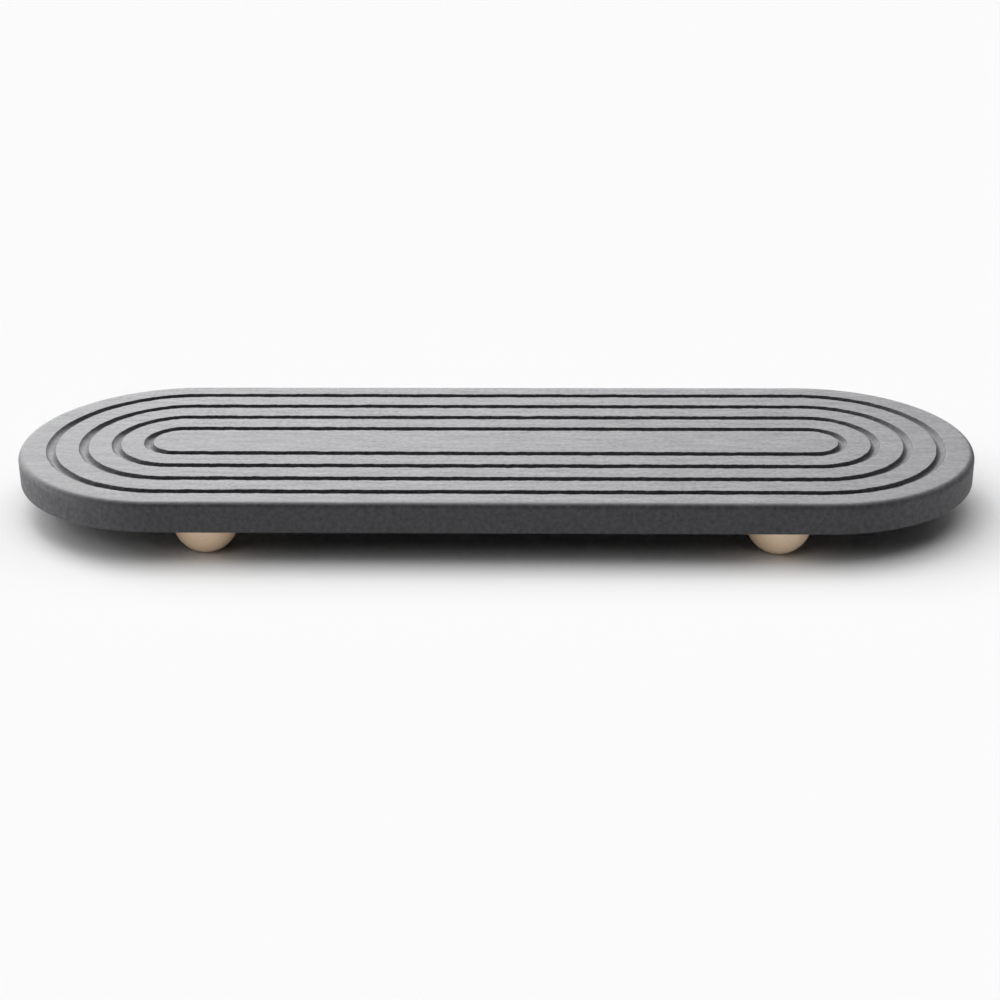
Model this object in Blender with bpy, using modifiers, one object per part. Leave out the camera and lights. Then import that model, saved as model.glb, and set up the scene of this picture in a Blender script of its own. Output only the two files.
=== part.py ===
"""Diatomite sink tray.

An obround slab of pressed diatomite stands on four turned beech feet. Four concentric drainage
grooves are cut in its top. Each foot is a ball, cut level above and sanded flat below, with a
spigot that is glued into a blind seat in the underside.

Metres, +Z up, +X along the tray, -Y towards the user. The origin is on the worktop, under the
middle of the tray.
"""

from math import cos, pi, radians, sin, sqrt

import bmesh
import bpy

# Slab
SLAB_LENGTH = 0.300
SLAB_WIDTH = 0.100
SLAB_THICKNESS = 0.0095
TOP_EDGE_RADIUS = 0.002
BOTTOM_EDGE_RADIUS = 0.0005

# Drainage grooves, cut with a ball-nosed tool
GROOVE_COUNT = 4
GROOVE_PITCH = 0.0101
GROOVE_SIDE_MARGIN = 0.0093
GROOVE_END_MARGIN = 0.0102
GROOVE_TOOL_RADIUS = 0.0015
GROOVE_DEPTH = 0.0013

# Feet
FOOT_RADIUS = 0.010
FOOT_HEIGHT = 0.0105
FOOT_FLAT_RADIUS = 0.002
FOOT_X = 0.086
FOOT_Y = 0.038

# Joint between a foot and the slab
SPIGOT_RADIUS = 0.0050
SPIGOT_HEIGHT = 0.0018
SPIGOT_CHAMFER = 0.0004
ADHESIVE_THICKNESS = 0.0004
CLEARANCE = 0.0003

# Fineness of the round shapes
END_STEPS = 40
EDGE_STEPS = 4
GROOVE_BEVEL_RESOLUTION = 6
TURNING_STEPS = 32
DOME_STEPS = 9
SHARP_ANGLE = radians(30)
WELD_DISTANCE = 0.00001
CUTTER_OVERSHOOT = 0.002

# Worked out from the sizes above
SLAB_END_RADIUS = SLAB_WIDTH / 2
SLAB_HALF_STRAIGHT = SLAB_LENGTH / 2 - SLAB_END_RADIUS
SLAB_TOP = FOOT_HEIGHT + SLAB_THICKNESS
OUTER_GROOVE_RADIUS = SLAB_WIDTH / 2 - GROOVE_SIDE_MARGIN
GROOVE_HALF_STRAIGHT = SLAB_LENGTH / 2 - GROOVE_END_MARGIN - OUTER_GROOVE_RADIUS
SHOULDER_Z = FOOT_HEIGHT - CLEARANCE
SPIGOT_TOP_Z = SHOULDER_Z + SPIGOT_HEIGHT
ADHESIVE_BOTTOM_Z = SPIGOT_TOP_Z + CLEARANCE
SEAT_TOP_Z = ADHESIVE_BOTTOM_Z + ADHESIVE_THICKNESS + CLEARANCE
SEAT_RADIUS = SPIGOT_RADIUS + CLEARANCE

# Linear colour, then roughness
DIATOMITE = ((0.240, 0.240, 0.246), 0.95)
BEECH = ((0.500, 0.360, 0.235), 0.55)
GLUE = ((0.640, 0.600, 0.480), 0.40)


def clear_scene():
    for obj in list(bpy.data.objects):
        bpy.data.objects.remove(obj, do_unlink=True)


def new_collection(name):
    collection = bpy.data.collections.new(name)
    bpy.context.scene.collection.children.link(collection)
    return collection


def new_material(name, finish):
    colour, roughness = finish
    material = bpy.data.materials.new(name)
    material.use_nodes = True
    shader = material.node_tree.nodes["Principled BSDF"]
    shader.inputs["Base Color"].default_value = (*colour, 1)
    shader.inputs["Roughness"].default_value = roughness
    shader.inputs["Metallic"].default_value = 0
    return material


def add_object(name, data, collection, location=(0, 0, 0)):
    obj = bpy.data.objects.new(name, data)
    obj.location = location
    collection.objects.link(obj)
    return obj


def evaluated_mesh(obj):
    """The object's shape with its modifiers, or its curve's thickness, as a mesh of its own."""
    graph = bpy.context.evaluated_depsgraph_get()
    return bpy.data.meshes.new_from_object(obj.evaluated_get(graph))


def take_mesh(obj):
    """The same, of a construction object that is then no longer needed."""
    mesh = evaluated_mesh(obj)
    bpy.data.objects.remove(obj, do_unlink=True)
    return mesh


def shade(mesh):
    mesh.shade_smooth()
    mesh.set_sharp_from_angle(angle=SHARP_ANGLE)


def weld(mesh, flatten=False):
    """Joins a curve's caps to its sides, and makes each flat cap one face where flatten is set."""
    bm = bmesh.new()
    bm.from_mesh(mesh)
    bmesh.ops.remove_doubles(bm, verts=bm.verts, dist=WELD_DISTANCE)
    if flatten:
        bmesh.ops.dissolve_limit(bm, angle_limit=radians(1), verts=bm.verts, edges=bm.edges)
    bmesh.ops.recalc_face_normals(bm, faces=bm.faces)
    bm.to_mesh(mesh)
    bm.free()


def obround(half_straight, radius):
    """Points round two straights and two half circles, anticlockwise."""
    points = []
    for end in (1, -1):
        for step in range(END_STEPS + 1):
            angle = pi * step / END_STEPS - pi / 2
            x = end * (half_straight + radius * cos(angle))
            y = end * radius * sin(angle)
            points.append((x, y))
    return points


def closed_curve(name, points, collection, location):
    curve = bpy.data.curves.new(name, "CURVE")
    spline = curve.splines.new("POLY")
    spline.points.add(len(points) - 1)
    for point, (x, y) in zip(spline.points, points):
        point.co = (x, y, 0, 1)
    spline.use_cyclic_u = True
    return add_object(name, curve, collection, location)


def slab_blank(collection, material):
    """The slab before it is machined: the outline made thick, with its two rims rounded."""
    outline = obround(SLAB_HALF_STRAIGHT, SLAB_END_RADIUS)
    flat = closed_curve("slab_outline", outline, collection, (0, 0, 0))
    flat.data.dimensions = "2D"
    flat.data.fill_mode = "BOTH"
    flat.data.extrude = SLAB_THICKNESS / 2
    mesh = take_mesh(flat)
    mesh.name = "stone_slab"
    weld(mesh, flatten=True)
    weigh_rims(mesh)
    mesh.materials.clear()
    mesh.materials.append(material)
    slab = add_object("stone_slab", mesh, collection, (0, 0, FOOT_HEIGHT + SLAB_THICKNESS / 2))
    bevel = slab.modifiers.new("rounded_rims", "BEVEL")
    bevel.width = TOP_EDGE_RADIUS
    bevel.segments = EDGE_STEPS
    bevel.limit_method = "WEIGHT"
    return slab


def weigh_rims(mesh):
    """Gives the top rim the full rounding, and the bottom rim its smaller share of it."""
    weights = mesh.attributes.new("bevel_weight_edge", "FLOAT", "EDGE")
    for edge in mesh.edges:
        first, second = (mesh.vertices[index].co.z for index in edge.vertices)
        if min(first, second) > 0:
            weights.data[edge.index].value = 1
        elif max(first, second) < 0:
            weights.data[edge.index].value = BOTTOM_EDGE_RADIUS / TOP_EDGE_RADIUS


def groove_cutter(number, collection):
    """The path of the ball-nosed tool along one ring, counted from the outermost."""
    radius = OUTER_GROOVE_RADIUS - number * GROOVE_PITCH
    name = f"groove_cutter_{number + 1}"
    points = obround(GROOVE_HALF_STRAIGHT, radius)
    path = closed_curve(f"groove_path_{number + 1}", points, collection, (0, 0, 0))
    path.data.dimensions = "3D"
    path.data.bevel_depth = GROOVE_TOOL_RADIUS
    path.data.bevel_resolution = GROOVE_BEVEL_RESOLUTION
    mesh = take_mesh(path)
    mesh.name = name
    weld(mesh)
    return add_object(name, mesh, collection, (0, 0, SLAB_TOP + GROOVE_TOOL_RADIUS - GROOVE_DEPTH))


def seat_cutter(place, position, collection):
    """The flat-bottomed drill that sinks one foot's blind seat in the underside."""
    depth = SEAT_TOP_Z - FOOT_HEIGHT + CUTTER_OVERSHOOT
    bm = bmesh.new()
    bmesh.ops.create_cone(bm, cap_ends=True, segments=TURNING_STEPS, radius1=SEAT_RADIUS,
                          radius2=SEAT_RADIUS, depth=depth)
    name = f"seat_cutter_{place}"
    mesh = bpy.data.meshes.new(name)
    bm.to_mesh(mesh)
    bm.free()
    return add_object(name, mesh, collection, (*position, SEAT_TOP_Z - depth / 2))


def cut(target, cutters):
    """Takes the cutters away from the target, and keeps the finished shape as its mesh."""
    for cutter in cutters:
        cutter.hide_render = True
        cutter.display_type = "WIRE"
        boolean = target.modifiers.new(cutter.name, "BOOLEAN")
        boolean.operation = "DIFFERENCE"
        boolean.solver = "EXACT"
        boolean.object = cutter
    finished = evaluated_mesh(target)
    target.modifiers.clear()
    target.data = finished
    shade(finished)


def foot_profile():
    """Radius and height down the outside of a foot, from the top of the spigot to the base."""
    centre_z = sqrt(FOOT_RADIUS**2 - FOOT_FLAT_RADIUS**2)
    top_angle = (SHOULDER_Z - centre_z) / FOOT_RADIUS
    base_angle = -pi / 2 + FOOT_FLAT_RADIUS / FOOT_RADIUS
    points = [(0, SPIGOT_TOP_Z), (SPIGOT_RADIUS - SPIGOT_CHAMFER, SPIGOT_TOP_Z)]
    points += [(SPIGOT_RADIUS, SPIGOT_TOP_Z - SPIGOT_CHAMFER), (SPIGOT_RADIUS, SHOULDER_Z)]
    for step in range(DOME_STEPS + 1):
        angle = top_angle + (base_angle - top_angle) * step / DOME_STEPS
        points.append((FOOT_RADIUS * cos(angle), centre_z + FOOT_RADIUS * sin(angle)))
    points[-1] = (FOOT_FLAT_RADIUS, 0)
    points.append((0, 0))
    return points


def turned_mesh(name, profile, collection, material):
    """A profile spun once round the Z axis."""
    mesh = bpy.data.meshes.new(name)
    edges = [(index, index + 1) for index in range(len(profile) - 1)]
    mesh.from_pydata([(radius, 0, z) for radius, z in profile], edges, [])
    blank = add_object(name, mesh, collection)
    screw = blank.modifiers.new("turned", "SCREW")
    screw.steps = TURNING_STEPS
    screw.render_steps = TURNING_STEPS
    screw.use_merge_vertices = True
    screw.merge_threshold = WELD_DISTANCE
    turned = take_mesh(blank)
    turned.name = name
    turned.materials.append(material)
    shade(turned)
    return turned


def foot_places():
    """A name and a position for each corner."""
    for depth, y in (("front", -FOOT_Y), ("back", FOOT_Y)):
        for side, x in (("left", -FOOT_X), ("right", FOOT_X)):
            yield f"{depth}_{side}", (x, y)


def build_tray():
    clear_scene()
    parts = new_collection("diatomite_sink_tray")
    cutters = new_collection("cutters")
    beech = new_material("beech", BEECH)
    glue = new_material("adhesive", GLUE)

    slab = slab_blank(parts, new_material("diatomite", DIATOMITE))
    grooves = [groove_cutter(number, cutters) for number in range(GROOVE_COUNT)]
    seats = [seat_cutter(place, position, cutters) for place, position in foot_places()]
    cut(slab, grooves + seats)

    foot = turned_mesh("foot", foot_profile(), parts, beech)
    disc = [(0, ADHESIVE_THICKNESS), (SPIGOT_RADIUS, ADHESIVE_THICKNESS), (SPIGOT_RADIUS, 0), (0, 0)]
    adhesive = turned_mesh("adhesive", disc, parts, glue)
    for place, position in foot_places():
        add_object(f"foot_{place}", foot, parts, (*position, 0))
        add_object(f"adhesive_{place}", adhesive, parts, (*position, ADHESIVE_BOTTOM_Z))


build_tray()
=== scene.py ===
"""The looks of the diatomite sink tray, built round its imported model.

The slab is modelled again ring by ring, from the middle of its top over the rim to the middle of
its underside, with groove lips that crumbled a little under the tool. The feet are turned again,
finer. The adhesive discs keep their shapes and get a finish.

Metres, +Z up, +X along the tray, -Y towards the user, as in the frame.
"""

from math import asin, cos, pi, radians, sin, sqrt
from typing import NamedTuple

import bmesh
import bpy
from mathutils import Matrix, Vector, noise


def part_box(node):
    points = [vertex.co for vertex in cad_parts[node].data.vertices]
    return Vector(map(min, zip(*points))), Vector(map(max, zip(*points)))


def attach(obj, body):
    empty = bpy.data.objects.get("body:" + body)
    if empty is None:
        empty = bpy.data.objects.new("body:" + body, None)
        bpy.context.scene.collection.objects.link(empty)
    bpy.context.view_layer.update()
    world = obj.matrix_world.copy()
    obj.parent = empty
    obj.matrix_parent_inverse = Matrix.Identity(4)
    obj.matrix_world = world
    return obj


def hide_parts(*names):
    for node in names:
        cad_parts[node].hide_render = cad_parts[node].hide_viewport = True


# Camera, fitted to the photograph, with its lens and sensor in millimetres
CAMERA_PLACE = (0.01762, -0.57573, 0.25064)
CAMERA_PITCH = radians(-23.543)
CAMERA_TURN = radians(1.592)
CAMERA_ROLL = radians(-0.476)
CAMERA_LENS = 70.69
CAMERA_SENSOR = 36
CAMERA_NEAREST = 0.01

# Slab, as in the construction
TOP_EDGE_RADIUS = 0.002
BOTTOM_EDGE_RADIUS = 0.0005
GROOVE_COUNT = 4
GROOVE_PITCH = 0.0101
GROOVE_SIDE_MARGIN = 0.0093
GROOVE_END_MARGIN = 0.0102
GROOVE_TOOL_RADIUS = 0.0015
GROOVE_DEPTH = 0.0013

# How the stone is finished at a place, held in an attribute of the slab's points, with painted
# shade on the sides and groove walls. Values between these blend them
SANDED = 1
# Moulded sides and underside, darker partly as painted shade
MOULDED_AND_SHADED = 0
# Cut groove walls, darker as painted shade
CUT_AND_SHADED = -1

# How far the sanding goes over the rim before the sides' colour, partly painted shade, takes over,
# and the pale dust from it on the groove floors, over a share of their width. The ends of the
# grooves carry painted light, more at the left end than at the right
SANDED_TURN = radians(52)
DUST_SHARE = 0.8
DUST_PALENESS = 0.9
LEFT_END_PAINTED_LIGHT = 2.6
RIGHT_END_PAINTED_LIGHT = 1.5
END_SHARPNESS = 12

# How far the edges crumbled. The lips did so less towards the ends of the tray
LIP_ROUNDING = 0.00006
LIP_REACH = 0.00060
LIP_RAGGED = 0.00033
RIM_RAGGED = 0.00008
END_CALM = 0.65

# Long and short chips, in turns a metre, and how far apart the edges lie in their noise
LONG_CHIPS = 320
SHORT_CHIPS = 1150
SHORT_CHIP_SHARE = 0.8
LONG_CHIP_SPACING = 7.3
SHORT_CHIP_SPACING = 3.1

# The edges that crumble are numbered: the lips of the grooves from 1, then the rim and the rings
# down the side, and the bottom edge
RIM_EDGE = 20
BOTTOM_EDGE = 40

# Fineness of the slab: points round a ring, and rings across its surfaces. Across a groove they
# are shares of its half width
END_STEPS = 400
STRAIGHT_STEPS = 700
GROOVE_HALF_STEPS = (0.25, 0.5, 0.72, 0.84, 0.91, 0.955, 0.985, 1.02, 1.08, 1.18)
LAND_STEPS = 3
TOP_EDGE_STEPS = 10
SIDE_STEPS = 10
BOTTOM_EDGE_STEPS = 5
UNDERSIDE_STEPS = 6

# Feet and their seats, as in the construction
FOOT_RADIUS = 0.010
FOOT_HEIGHT = 0.0105
FOOT_FLAT_RADIUS = 0.002
SPIGOT_RADIUS = 0.0050
SPIGOT_TOP_Z = 0.0120
SPIGOT_CHAMFER = 0.0004
SHOULDER_GAP = 0.00005
SHOULDER_EASED = 0.0002
SEAT_RADIUS = 0.0053
SEAT_TOP_Z = 0.0130
CUTTER_OVERSHOOT = 0.002

# Fineness of the feet, and the turn from which an edge of theirs is sharp
TURNING_STEPS = 72
DOME_STEPS = 30
SHARP_TURN = radians(35)

# Points closer than this are one
SAME_PLACE = 1e-6

# Colours, linear
SANDED_STONE = (0.300, 0.298, 0.311)
# The sides' colour: darker than the top, partly as painted shade
MOULDED_AND_SHADED_STONE = (0.124, 0.124, 0.1325)
# The groove walls' colour: dark as painted shade
SHADED_GROOVE_STONE = (0.075, 0.075, 0.080)
BEECH_PALE = (0.80, 0.62, 0.45)
BEECH_DARK = (0.66, 0.44, 0.27)
GLUE_CLEAR = (0.66, 0.62, 0.50)
GLUE_CLOUDY = (0.52, 0.47, 0.35)
FLOOR_SEEN = (0.956, 0.956, 0.956)
FLOOR_BOUNCE = (0.09, 0.09, 0.09)
NO_LIGHT = (0, 0, 0)

# Patterns, in turns a metre along each axis
COARSE_MARKS = (62, 430, 300)
FINE_MARKS = (620, 800, 900)
STONE_GRAIN = (620, 620, 620)
STONE_CLOUDS = (45, 90, 90)
WOOD_BANDS = (90, 330, 110)
WOOD_FLECKS = (500, 2600, 1500)
GLUE_CLOUDS = (900, 900, 900)

# The part of a noise that a pattern uses: nearly all of it, its middle, its heights or its peaks
NOISE_WIDE = (0.25, 0.75)
NOISE_MIDDLE = (0.3, 0.7)
NOISE_HEIGHTS = (0.55, 0.75)
NOISE_PEAKS = (0.67, 0.75)

# How strongly each pattern changes the colour
COARSE_MARK_STRENGTH = 0.21
FINE_MARK_STRENGTH = 0.27
GRAIN_STRENGTH = 0.50
CLOUD_STRENGTH = 0.04
SPECK_PALENESS = 0.4
BAND_DARKNESS = 0.7
FLECK_DARKNESS = 0.5

# Lowest and highest roughness, and the fine relief that the patterns give
STONE_ROUGHNESS = (0.56, 0.66)
WOOD_ROUGHNESS = (0.48, 0.62)
GLUE_ROUGHNESS = (0.30, 0.50)
STONE_RELIEF = 0.4
STONE_RELIEF_DEPTH = 0.0001
GRAIN_SHARE = 0.5
WOOD_RELIEF = 0.25
WOOD_RELIEF_DEPTH = 0.00005

# Light: each lamp's azimuth, elevation and size in degrees, and its strength square on. The sheen
# lamps show in the slab's gloss only
SLAB_LAMPS = (
    ("back_high", 100, 50, 28, 2.25),
    ("back_middle", 125, 24, 26, 0.60),
    ("left_low", 180, 8, 20, 1.70),
    ("right_high", 0, 35, 30, 0.22),
    ("right_low", 352, 8, 18, 0.42),
    ("front_low", 252, 5, 24, 0.53),
)
SHEEN_LAMPS = (
    ("back_right_low", 80, 10, 24, 0.46),
    ("back_low", 100, 8, 24, 1.28),
    ("back_left_low", 122, 8, 24, 0.58),
    ("left_back_low", 140, 8, 24, 0.93),
)
FEET_LAMPS = (
    ("feet_front", 272, 6, 44, 2.40),
    ("feet_back", 80, 30, 50, 1.20),
)
FLOOR_LAMPS = (
    ("floor_overhead", 0, 90, 60, 1.19),
    ("floor_back_high", 120, 70, 34, 0.60),
    ("floor_left_back", 135, 42, 34, 0.73),
    ("floor_left", 180, 42, 34, 0.43),
    ("floor_left_front", 225, 42, 34, 0.43),
    ("floor_right_back", 45, 42, 34, 0.27),
    ("floor_right", 0, 42, 34, 0.13),
    ("floor_left_low", 182, 14, 34, 0.30),
    ("floor_right_low", 0, 14, 34, 0.06),
)

# Side of the square floor
FLOOR_SIZE = 8


def add_object(name, data, place=(0, 0, 0)):
    obj = bpy.data.objects.new(name, data)
    obj.location = place
    bpy.context.scene.collection.objects.link(obj)
    return obj


def mesh_of(bm, name):
    """A new mesh that holds what was modelled, which is then let go."""
    mesh = bpy.data.meshes.new(name)
    bm.to_mesh(mesh)
    bm.free()
    return mesh


def make_camera():
    lens = bpy.data.cameras.new("camera")
    lens.lens = CAMERA_LENS
    lens.sensor_width = CAMERA_SENSOR
    lens.clip_start = CAMERA_NEAREST
    camera = add_object("camera", lens)
    turn = Matrix.Rotation(CAMERA_TURN, 4, "Z")
    pitch = Matrix.Rotation(pi / 2 + CAMERA_PITCH, 4, "X")
    roll = Matrix.Rotation(CAMERA_ROLL, 4, "Z")
    camera.matrix_world = Matrix.Translation(CAMERA_PLACE) @ turn @ pitch @ roll
    bpy.context.scene.camera = camera


def fill_input(tree, socket, value):
    """Links a node's input to another node's output, or gives it a value."""
    if isinstance(value, bpy.types.NodeSocket):
        tree.links.new(value, socket)
    else:
        socket.default_value = value


def add_node(tree, kind, inputs=None, **settings):
    """A shader node with its settings, and a value or a link for each named input."""
    node = tree.nodes.new(kind)
    for name, value in settings.items():
        setattr(node, name, value)
    for name, value in (inputs or {}).items():
        fill_input(tree, node.inputs[name], value)
    return node


def mix_colours(tree, factor, first, second):
    """A colour that goes from the first to the second as the factor goes from 0 to 1."""
    node = add_node(tree, "ShaderNodeMix", data_type="RGBA")
    fill_input(tree, node.inputs[0], factor)
    colour_inputs = [socket for socket in node.inputs if socket.type == "RGBA"]
    for socket, colour in zip(colour_inputs, (first, second)):
        fill_input(tree, socket, (*colour, 1) if isinstance(colour, tuple) else colour)
    return next(socket for socket in node.outputs if socket.type == "RGBA")


def scaled_colour(tree, colour, factor):
    """A colour times a number."""
    node = add_node(tree, "ShaderNodeVectorMath", {"Scale": factor}, operation="SCALE")
    fill_input(tree, node.inputs[0], colour)
    return node.outputs[0]


def arithmetic(tree, operation, first, second):
    """The sum, the product or the larger of two numbers, as the operation says."""
    node = add_node(tree, "ShaderNodeMath", operation=operation)
    fill_input(tree, node.inputs[0], first)
    fill_input(tree, node.inputs[1], second)
    return node.outputs[0]


def stretched_noise(tree, scale, detail=2.0, roughness=0.55):
    """Noise in the piece's own space, with its own scale along each axis, in turns a metre."""
    place = add_node(tree, "ShaderNodeTexCoord").outputs["Object"]
    inputs = {"Vector": place, "Scale": scale}
    mapping = add_node(tree, "ShaderNodeMapping", inputs, vector_type="POINT")
    inputs = {"Vector": mapping.outputs[0], "Scale": 1.0, "Detail": detail, "Roughness": roughness}
    return add_node(tree, "ShaderNodeTexNoise", inputs).outputs["Fac"]


def stretch_range(tree, value, old, new):
    """A number moved from its old range to a new one, and held within that."""
    inputs = {"Value": value, "From Min": old[0], "From Max": old[1]}
    inputs |= {"To Min": new[0], "To Max": new[1]}
    return add_node(tree, "ShaderNodeMapRange", inputs).outputs["Result"]


def around(middle, reach):
    """The range that goes as far as its reach to both sides of its middle."""
    return middle - reach, middle + reach


def add_relief(tree, shader, height, strength, depth):
    inputs = {"Height": height, "Strength": strength, "Distance": depth}
    tree.links.new(add_node(tree, "ShaderNodeBump", inputs).outputs[0], shader.inputs["Normal"])


def new_material(name):
    """A material with its node tree and its Principled shader."""
    material = bpy.data.materials.new(name)
    material.use_nodes = True
    return material, material.node_tree, material.node_tree.nodes["Principled BSDF"]


def stone_material():
    """Pressed diatomite: a sanded top with fine marks along the tray, darker moulded sides that
    partly carry painted shade, and groove walls darkened as painted shade.
    """
    material, tree, shader = new_material("diatomite")
    finish_and_painted_light = add_node(tree, "ShaderNodeAttribute", attribute_name="finish_and_painted_light").outputs["Fac"]
    coarse = stretched_noise(tree, COARSE_MARKS)
    fine = stretched_noise(tree, FINE_MARKS)
    grain = stretched_noise(tree, STONE_GRAIN, detail=3.0, roughness=0.7)
    cloud = stretched_noise(tree, STONE_CLOUDS)

    coarse_marks = stretch_range(tree, coarse, NOISE_WIDE, around(0, COARSE_MARK_STRENGTH))
    fine_marks = stretch_range(tree, fine, NOISE_WIDE, around(0, FINE_MARK_STRENGTH))
    marks = arithmetic(tree, "ADD", coarse_marks, fine_marks)
    speckle = stretch_range(tree, grain, NOISE_WIDE, around(0, GRAIN_STRENGTH))
    clouding = stretch_range(tree, cloud, NOISE_MIDDLE, around(1, CLOUD_STRENGTH))

    top = scaled_colour(tree, SANDED_STONE, arithmetic(tree, "ADD", clouding, marks))
    # Groove walls get the colour of painted shade
    groove_wall_shade = stretch_range(tree, finish_and_painted_light, (CUT_AND_SHADED, MOULDED_AND_SHADED), (1, 0))
    plain = mix_colours(tree, groove_wall_shade, MOULDED_AND_SHADED_STONE, SHADED_GROOVE_STONE)
    side = scaled_colour(tree, plain, arithmetic(tree, "ADD", clouding, speckle))
    specks = stretch_range(tree, grain, NOISE_PEAKS, (0, SPECK_PALENESS))
    pale = arithmetic(tree, "MAXIMUM", finish_and_painted_light, specks)
    tree.links.new(mix_colours(tree, pale, side, top), shader.inputs["Base Color"])

    rough = stretch_range(tree, fine, NOISE_MIDDLE, STONE_ROUGHNESS)
    tree.links.new(rough, shader.inputs["Roughness"])

    marks_height = arithmetic(tree, "MULTIPLY", coarse, finish_and_painted_light)
    grain_height = arithmetic(tree, "MULTIPLY", grain, GRAIN_SHARE)
    height = arithmetic(tree, "ADD", marks_height, grain_height)
    add_relief(tree, shader, height, STONE_RELIEF, STONE_RELIEF_DEPTH)
    return material


def wood_material():
    """Turned beech, bare: soft growth bands with short darker flecks along the grain."""
    material, tree, shader = new_material("beech")
    bands = stretched_noise(tree, WOOD_BANDS, detail=3.0)
    flecks = stretched_noise(tree, WOOD_FLECKS, roughness=0.6)

    band_darkness = stretch_range(tree, bands, NOISE_MIDDLE, (0, BAND_DARKNESS))
    fleck_darkness = stretch_range(tree, flecks, NOISE_HEIGHTS, (0, FLECK_DARKNESS))
    both = arithmetic(tree, "ADD", band_darkness, fleck_darkness)
    darkness = stretch_range(tree, both, (0, BAND_DARKNESS + FLECK_DARKNESS), (0, 1))
    tree.links.new(mix_colours(tree, darkness, BEECH_PALE, BEECH_DARK), shader.inputs["Base Color"])

    rough = stretch_range(tree, flecks, NOISE_MIDDLE, WOOD_ROUGHNESS)
    tree.links.new(rough, shader.inputs["Roughness"])
    add_relief(tree, shader, flecks, WOOD_RELIEF, WOOD_RELIEF_DEPTH)
    return material


def glue_material():
    """Set resin glue, a little cloudy."""
    material, tree, shader = new_material("adhesive")
    cloud = stretched_noise(tree, GLUE_CLOUDS)
    tree.links.new(mix_colours(tree, cloud, GLUE_CLEAR, GLUE_CLOUDY), shader.inputs["Base Color"])
    rough = stretch_range(tree, cloud, NOISE_MIDDLE, GLUE_ROUGHNESS)
    tree.links.new(rough, shader.inputs["Roughness"])
    return material


def groove_depth(offset):
    """Depth of a groove at a distance from its middle: a ball-nosed cut with softened lips."""
    lift = GROOVE_TOOL_RADIUS - GROOVE_DEPTH
    if abs(offset) < GROOVE_TOOL_RADIUS:
        plain = sqrt(GROOVE_TOOL_RADIUS**2 - offset**2) - lift
    else:
        plain = -lift - (abs(offset) - GROOVE_TOOL_RADIUS)
    return (plain + sqrt(plain**2 + LIP_ROUNDING**2)) / 2


class Station(NamedTuple):
    """One ring of the slab's surface, before wear: the radius of its ends, half the length of its
    straights, its height and finish, with painted shade on the sides and groove walls, how ragged it
    gets, and the number of its edge, if any."""

    radius: float
    straight: float
    height: float
    # Finish of the ring, with painted shade on the sides and groove walls
    finish_and_painted_light: float
    ragged: float = 0
    edge: int = 0

    @property
    def in_groove(self):
        return 0 < self.edge < RIM_EDGE


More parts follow.
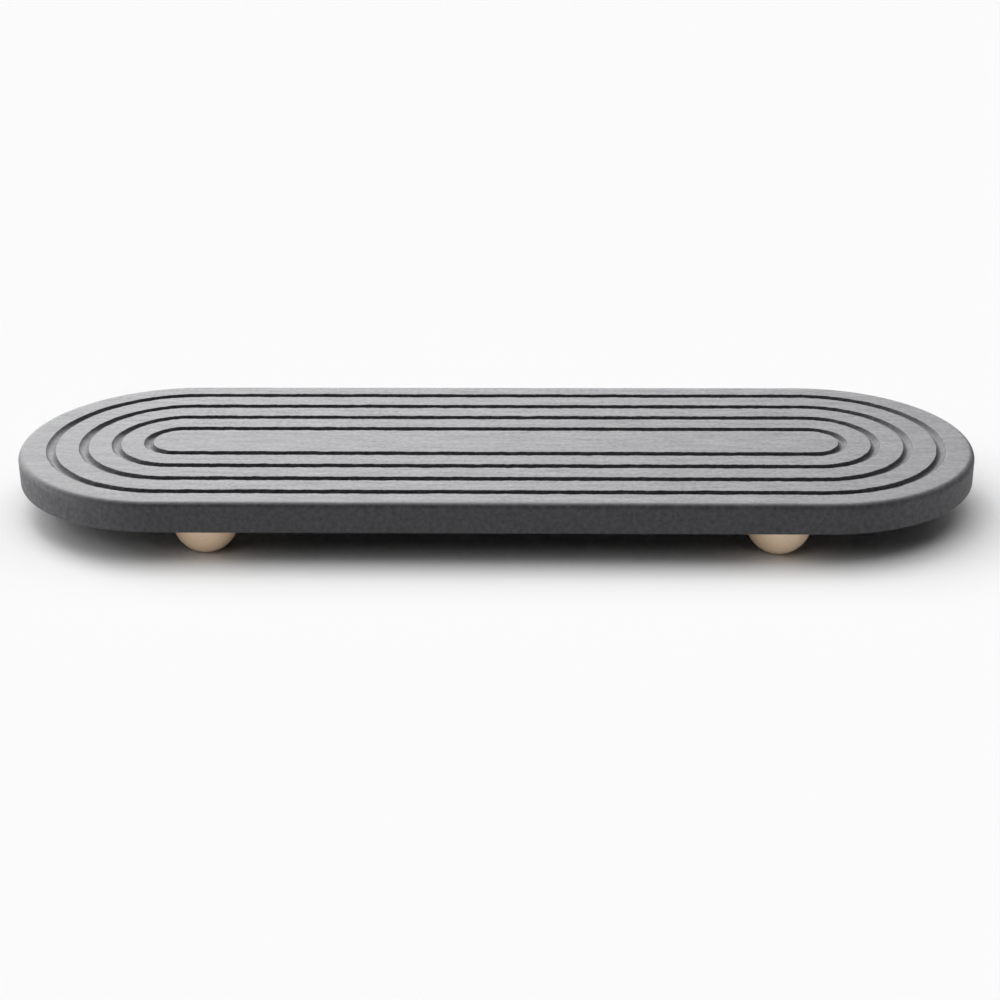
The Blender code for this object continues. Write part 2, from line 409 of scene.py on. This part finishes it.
class Slab:
    """Sizes of the slab, read from the frame, and the rings that make its surface."""

    def __init__(self):
        low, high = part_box("stone_slab")
        self.top = high.z
        self.bottom = low.z
        self.end_radius = high.y
        self.straight = high.x - high.y
        self.outer_groove = self.end_radius - GROOVE_SIDE_MARGIN
        self.groove_straight = high.x - GROOVE_END_MARGIN - self.outer_groove
        self.flat_radius = self.end_radius - TOP_EDGE_RADIUS

    def straight_at(self, radius):
        """Half the length of a ring's straights: that of the grooves within them, and growing to
        that of the rim outside."""
        start = self.outer_groove + GROOVE_TOOL_RADIUS
        share = (radius - start) / (self.flat_radius - start)
        share = min(max(share, 0), 1)
        return self.groove_straight + share * (self.straight - self.groove_straight)

    def land(self, start, end):
        """Rings across a flat, between two radii and without them."""
        for step in range(1, LAND_STEPS + 1):
            radius = start + (end - start) * step / (LAND_STEPS + 1)
            yield Station(radius, self.straight_at(radius), self.top, SANDED)

    def groove(self, number):
        """Rings across a groove and its lips. Its two lips crumble each in its own way."""
        centre = self.outer_groove - number * GROOVE_PITCH
        half_width = sqrt(GROOVE_TOOL_RADIUS**2 - (GROOVE_TOOL_RADIUS - GROOVE_DEPTH) ** 2)
        outward = [share * half_width for share in GROOVE_HALF_STEPS]
        for offset in [-step for step in reversed(outward)] + [0] + outward:
            height = self.top - groove_depth(offset)
            across = abs(offset) / half_width
            # Pale dust on the groove floor, going over to painted shade on the walls
            dust_and_painted_light = DUST_PALENESS - (DUST_PALENESS - CUT_AND_SHADED) * across / DUST_SHARE
            finish_and_painted_light = SANDED if across > 1 else max(dust_and_painted_light, CUT_AND_SHADED)
            from_lip = abs(abs(offset) - half_width)
            ragged = LIP_RAGGED * max(0, 1 - from_lip / LIP_REACH)
            edge = 2 * number + (1 if offset > 0 else 2)
            yield Station(centre + offset, self.groove_straight, height, finish_and_painted_light, ragged, edge)

    def rim(self):
        """Rings over the rounded top edge, down the side and round the bottom edge."""
        for step in range(TOP_EDGE_STEPS + 1):
            turn = pi / 2 * step / TOP_EDGE_STEPS
            radius = self.end_radius - TOP_EDGE_RADIUS * (1 - sin(turn))
            height = self.top - TOP_EDGE_RADIUS * (1 - cos(turn))
            # The top's colour runs over the upper part of the rounded edge; below it, the side's
            # colour, partly painted shade
            finish_and_painted_light = max(MOULDED_AND_SHADED, SANDED - turn / SANDED_TURN)
            ragged = RIM_RAGGED * sin(turn) ** 2
            yield Station(radius, self.straight, height, finish_and_painted_light, ragged, RIM_EDGE)
        start = self.top - TOP_EDGE_RADIUS
        end = self.bottom + BOTTOM_EDGE_RADIUS
        for step in range(1, SIDE_STEPS):
            height = start + (end - start) * step / SIDE_STEPS
            edge = RIM_EDGE + step
            yield Station(self.end_radius, self.straight, height, MOULDED_AND_SHADED, RIM_RAGGED, edge)
        for step in range(BOTTOM_EDGE_STEPS + 1):
            turn = pi / 2 * step / BOTTOM_EDGE_STEPS
            radius = self.end_radius - BOTTOM_EDGE_RADIUS * (1 - cos(turn))
            height = end - BOTTOM_EDGE_RADIUS * sin(turn)
            yield Station(radius, self.straight, height, MOULDED_AND_SHADED, RIM_RAGGED, BOTTOM_EDGE)

    def stations(self):
        """All rings, from the middle of the top over the rim to the middle of the underside."""
        rings = [Station(0, self.groove_straight, self.top, SANDED)]
        inner = 0
        for number in reversed(range(GROOVE_COUNT)):
            groove = list(self.groove(number))
            rings += self.land(inner, groove[0].radius)
            rings += groove
            inner = groove[-1].radius
        rings += self.land(inner, self.flat_radius)
        rings += self.rim()
        outer = self.end_radius - BOTTOM_EDGE_RADIUS
        for step in range(1, UNDERSIDE_STEPS + 1):
            radius = outer * (1 - step / UNDERSIDE_STEPS)
            rings.append(Station(radius, self.straight_at(radius), self.bottom, MOULDED_AND_SHADED))
        return rings


def ring_directions():
    """For each point round a ring: its share of the straight, and its outward direction."""
    points = []
    for end in (1, -1):
        for step in range(END_STEPS):
            turn = pi * step / END_STEPS - pi / 2
            points.append((end, end * cos(turn), end * sin(turn)))
        for step in range(STRAIGHT_STEPS):
            points.append((end * (1 - 2 * step / STRAIGHT_STEPS), 0, end))
    return points


def crumble(edge, x, y):
    """How far an edge strays from its line at a place, from about -1 to 1."""
    long = noise.noise(Vector((x * LONG_CHIPS, y * LONG_CHIPS, edge * LONG_CHIP_SPACING)))
    short = noise.noise(Vector((x * SHORT_CHIPS, y * SHORT_CHIPS, edge * SHORT_CHIP_SPACING)))
    return long + SHORT_CHIP_SHARE * short


def worn_place(station, share, across_x, across_y):
    """Where a point of a ring lies once its edge crumbled: a lip either way, the rim inwards."""
    x = share * station.straight + station.radius * across_x
    y = station.radius * across_y
    if station.ragged:
        back = station.ragged * crumble(station.edge, x, y)
        if station.in_groove:
            back *= 1 - END_CALM * across_x**2
        else:
            back = abs(back)
        x -= back * across_x
        y -= back * across_y
    return x, y, station.height


def finish_and_end_light(station, across_x):
    """The finish at a point of a ring, with painted light in the ends of the grooves, more at the
    left end.
    """
    if not station.in_groove:
        return station.finish_and_painted_light
    # Painted light at the groove ends, stronger at the left end
    paleness = LEFT_END_PAINTED_LIGHT if across_x < 0 else RIGHT_END_PAINTED_LIGHT
    dust_and_painted_light = CUT_AND_SHADED + paleness * across_x**END_SHARPNESS
    return max(station.finish_and_painted_light, min(dust_and_painted_light, SANDED))


def slab_mesh(name, slab):
    """The slab's surface, of its rings joined by faces."""
    directions = ring_directions()
    bm = bmesh.new()
    # Each point's finish, with painted shade on the sides and groove walls and painted light at the
    # groove ends
    finish_and_painted_light = bm.verts.layers.float.new("finish_and_painted_light")
    rows = []
    for station in slab.stations():
        row = []
        for share, across_x, across_y in directions:
            vertex = bm.verts.new(worn_place(station, share, across_x, across_y))
            vertex[finish_and_painted_light] = finish_and_end_light(station, across_x)
            row.append(vertex)
        rows.append(row)
    for inner, outer in zip(rows, rows[1:]):
        for index in range(len(inner)):
            after = (index + 1) % len(inner)
            bm.faces.new((inner[index], outer[index], outer[after], inner[after]))
    bmesh.ops.remove_doubles(bm, verts=rows[0] + rows[-1], dist=SAME_PLACE)
    bmesh.ops.recalc_face_normals(bm, faces=bm.faces)
    mesh = mesh_of(bm, name)
    mesh.shade_smooth()
    return mesh


def foot_places():
    """For each foot, the name of its place and its middle, read from the frame."""
    for depth in ("front", "back"):
        for side in ("left", "right"):
            place = f"{depth}_{side}"
            low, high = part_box(f"foot_{place}")
            yield place, ((low.x + high.x) / 2, (low.y + high.y) / 2)


def cut_seats(slab_object):
    """The blind seats in the underside, where the spigots go."""
    depth = SEAT_TOP_Z - FOOT_HEIGHT + CUTTER_OVERSHOOT
    for place, position in foot_places():
        bm = bmesh.new()
        bmesh.ops.create_cone(bm, cap_ends=True, segments=TURNING_STEPS, radius1=SEAT_RADIUS,
                              radius2=SEAT_RADIUS, depth=depth)
        name = f"seat_cutter_{place}"
        cutter = add_object(name, mesh_of(bm, name), (*position, SEAT_TOP_Z - depth / 2))
        boolean = slab_object.modifiers.new(name, "BOOLEAN")
        boolean.operation = "DIFFERENCE"
        boolean.solver = "MANIFOLD"
        boolean.object = cutter
    graph = bpy.context.evaluated_depsgraph_get()
    finished = bpy.data.meshes.new_from_object(slab_object.evaluated_get(graph))
    cutters = [modifier.object for modifier in slab_object.modifiers]
    slab_object.modifiers.clear()
    slab_object.data = finished
    for cutter in cutters:
        bpy.data.objects.remove(cutter, do_unlink=True)


def foot_profile():
    """Radius and height down the outside of a foot, from the top of its spigot to its base."""
    centre_z = sqrt(FOOT_RADIUS**2 - FOOT_FLAT_RADIUS**2)
    shoulder = FOOT_HEIGHT - SHOULDER_GAP
    top_turn = asin((shoulder - SHOULDER_EASED - centre_z) / FOOT_RADIUS)
    base_turn = FOOT_FLAT_RADIUS / FOOT_RADIUS - pi / 2
    points = [(0, SPIGOT_TOP_Z), (SPIGOT_RADIUS - SPIGOT_CHAMFER, SPIGOT_TOP_Z)]
    points += [(SPIGOT_RADIUS, SPIGOT_TOP_Z - SPIGOT_CHAMFER), (SPIGOT_RADIUS, shoulder)]
    points.append((FOOT_RADIUS * cos(top_turn) - SHOULDER_EASED, shoulder))
    for step in range(DOME_STEPS + 1):
        turn = top_turn + (base_turn - top_turn) * step / DOME_STEPS
        points.append((FOOT_RADIUS * cos(turn), max(centre_z + FOOT_RADIUS * sin(turn), 0)))
    points.append((0, 0))
    return points


def turned_mesh(name, profile, position):
    """A profile spun once round an upright axis at a position."""
    centre_x, centre_y = position
    bm = bmesh.new()
    rows = []
    for step in range(TURNING_STEPS):
        turn = 2 * pi * step / TURNING_STEPS
        row = []
        for radius, z in profile:
            x = centre_x + radius * cos(turn)
            y = centre_y + radius * sin(turn)
            row.append(bm.verts.new((x, y, z)))
        rows.append(row)
    for first, second in zip(rows, rows[1:] + rows[:1]):
        for upper in range(len(profile) - 1):
            bm.faces.new((first[upper], first[upper + 1], second[upper + 1], second[upper]))
    bmesh.ops.remove_doubles(bm, verts=bm.verts, dist=SAME_PLACE)
    bmesh.ops.recalc_face_normals(bm, faces=bm.faces)
    mesh = mesh_of(bm, name)
    mesh.shade_smooth()
    mesh.set_sharp_from_angle(angle=SHARP_TURN)
    return mesh


def make_floor():
    """A pale floor, which gives the object little of its light back."""
    material, tree, shader = new_material("floor")
    rays = add_node(tree, "ShaderNodeLightPath").outputs
    seen = arithmetic(tree, "MAXIMUM", rays["Is Camera Ray"], rays["Is Glossy Ray"])
    seen = arithmetic(tree, "MAXIMUM", seen, rays["Is Transmission Ray"])
    tree.links.new(mix_colours(tree, seen, FLOOR_BOUNCE, FLOOR_SEEN), shader.inputs["Base Color"])
    shader.inputs["Roughness"].default_value = 1
    shader.inputs["Specular IOR Level"].default_value = 0

    bm = bmesh.new()
    bmesh.ops.create_grid(bm, x_segments=1, y_segments=1, size=FLOOR_SIZE / 2)
    floor = add_object("floor", mesh_of(bm, "floor"))
    floor.data.materials.append(material)
    return floor


def make_world():
    """A backdrop that only the camera sees, so that it lights nothing."""
    world = bpy.data.worlds.new("world")
    bpy.context.scene.world = world
    world.use_nodes = True
    tree = world.node_tree
    rays = add_node(tree, "ShaderNodeLightPath").outputs
    colour = mix_colours(tree, rays["Is Camera Ray"], NO_LIGHT, FLOOR_SEEN)
    tree.links.new(colour, tree.nodes["Background"].inputs["Color"])


def lit_collection(name, objects, link_state="INCLUDE"):
    """A collection for lamps that light these objects only, or all objects but these."""
    lit = bpy.data.collections.new(name)
    for obj in objects:
        lit.objects.link(obj)
    for entry in lit.collection_objects:
        entry.light_linking.link_state = link_state
    return lit


def add_lamp(name, azimuth, elevation, size, strength, lit):
    """A far soft lamp that lights what its collection says."""
    lamp = bpy.data.lights.new(name, "SUN")
    lamp.energy = strength
    lamp.angle = radians(size)
    turn = radians(azimuth)
    rise = radians(elevation)
    towards = Vector((cos(rise) * cos(turn), cos(rise) * sin(turn), sin(rise)))
    obj = add_object(name, lamp, towards)
    obj.rotation_euler = towards.to_track_quat("Z", "Y").to_euler()
    obj.light_linking.receiver_collection = lit
    return obj


def light_scene(floor, feet):
    """Lights the slab, the feet and the floor by lamps of their own, and adds the backdrop."""
    slab_only = lit_collection("lit_but_floor_and_feet", [floor, *feet], "EXCLUDE")
    feet_only = lit_collection("lit_feet", feet)
    floor_only = lit_collection("lit_floor", [floor])
    for lamps, lit in ((SLAB_LAMPS, slab_only), (FEET_LAMPS, feet_only), (FLOOR_LAMPS, floor_only)):
        for lamp in lamps:
            add_lamp(*lamp, lit)
    for lamp in SHEEN_LAMPS:
        add_lamp(*lamp, slab_only).visible_diffuse = False
    make_world()
    bpy.context.scene.view_settings.view_transform = "Standard"


def finish_piece(piece, material, node):
    """Gives a piece its material and slot, in place of a node of the frame."""
    piece.data.materials.clear()
    piece.data.materials.append(material)
    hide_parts(node)
    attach(piece, "root")


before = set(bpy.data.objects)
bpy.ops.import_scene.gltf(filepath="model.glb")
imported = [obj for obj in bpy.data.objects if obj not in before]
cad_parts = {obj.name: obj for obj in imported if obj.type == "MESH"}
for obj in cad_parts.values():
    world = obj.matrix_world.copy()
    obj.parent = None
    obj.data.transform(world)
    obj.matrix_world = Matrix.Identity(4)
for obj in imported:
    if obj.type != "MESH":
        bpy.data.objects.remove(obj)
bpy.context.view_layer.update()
make_camera()

slab_piece = add_object("stone_slab_finished", slab_mesh("stone_slab_finished", Slab()))
cut_seats(slab_piece)
finish_piece(slab_piece, stone_material(), "stone_slab")

beech = wood_material()
glue = glue_material()
feet = []
for place, position in foot_places():
    name = f"foot_{place}_finished"
    foot = add_object(name, turned_mesh(name, foot_profile(), position))
    finish_piece(foot, beech, f"foot_{place}")
    feet.append(foot)
    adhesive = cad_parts[f"adhesive_{place}"]
    for material_slot in adhesive.material_slots:
        material_slot.material = glue

light_scene(make_floor(), feet)
